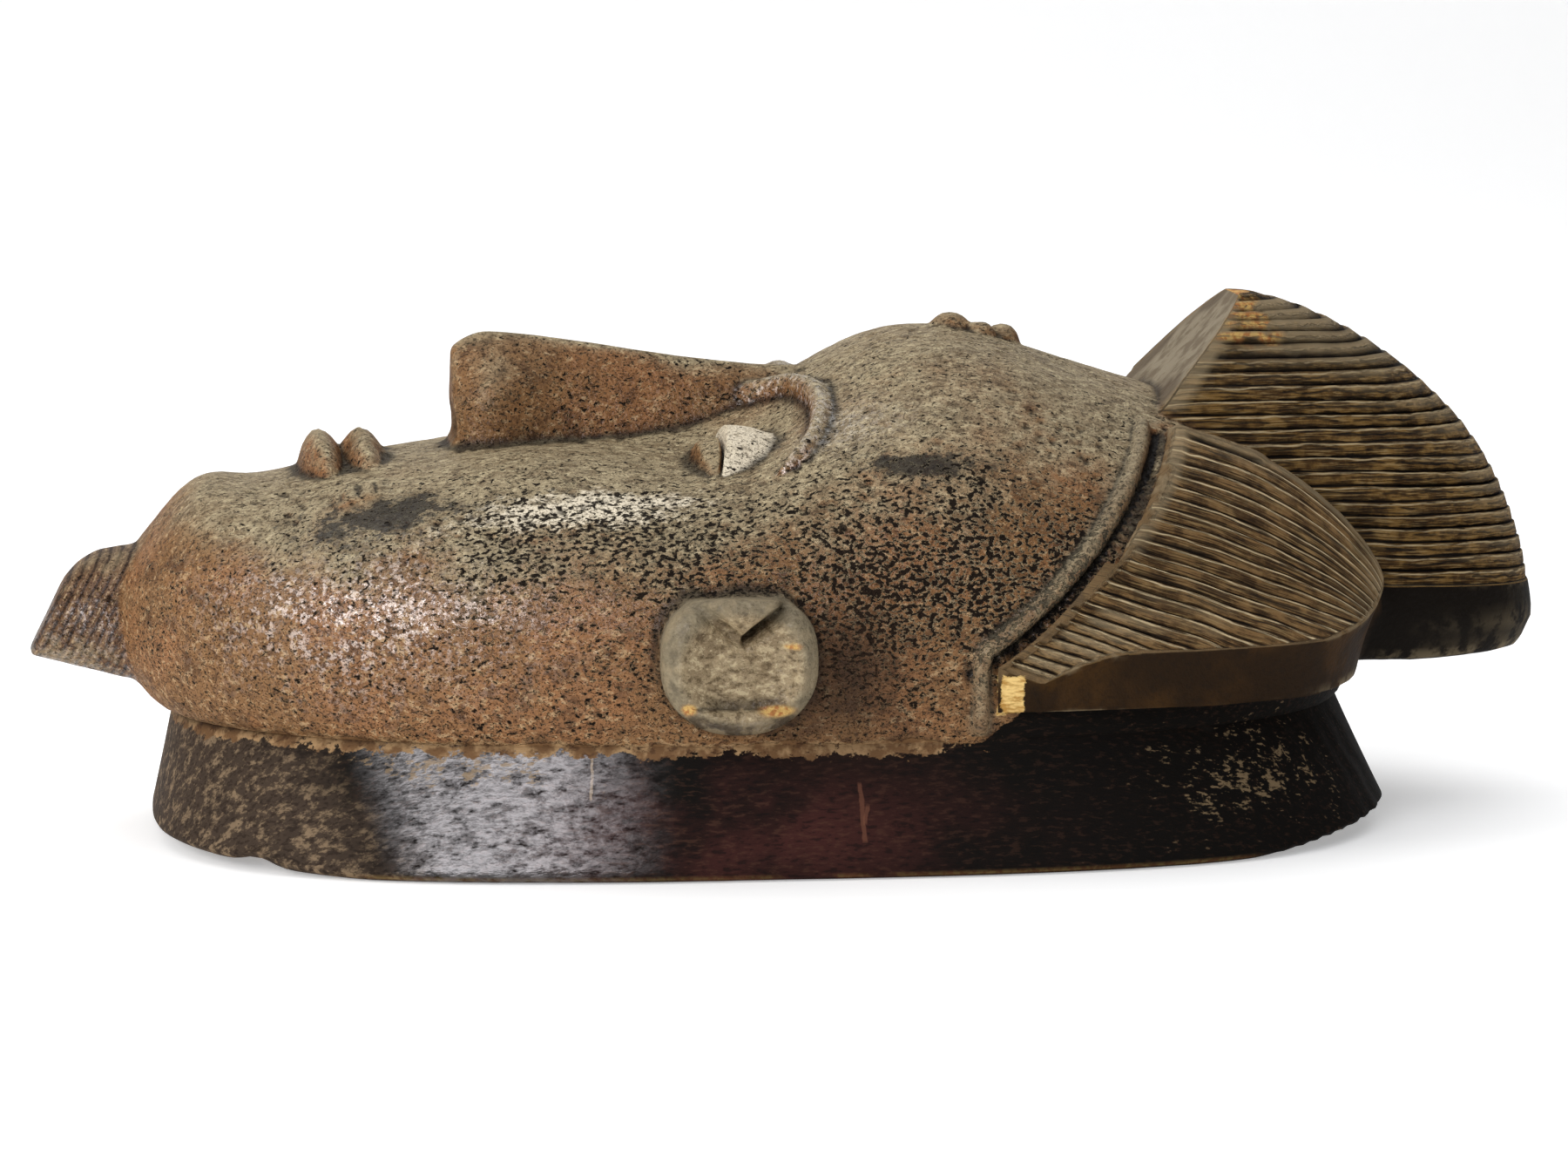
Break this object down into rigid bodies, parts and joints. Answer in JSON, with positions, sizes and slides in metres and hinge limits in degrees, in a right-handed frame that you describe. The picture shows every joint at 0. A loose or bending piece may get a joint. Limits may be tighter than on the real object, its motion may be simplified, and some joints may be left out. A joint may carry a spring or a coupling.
{
  "type": "baule mask",
  "caption": "Carved wooden face mask lying on its back rim: oval face, ears, pointed beard, combed crest and side lobes, with a hollow back.",
  "frame": {"origin": "middle of the mask's bounding box at the level of the rim's flat underside", "axes": "+X from the beard to the tip of the crest, +Z out of the face, up as it lies, +Y towards the mask's own right"},
  "size_m": [0.372, 0.195, 0.1267],
  "materials": {
    "dark_wood": "dark stained carved wood, crusted with brown dust on the face and polished by handling on the rim and hair walls"
  },
  "bodies": {
    "root": {"carved_mask": "dark_wood"}
  },
  "joints": []
}
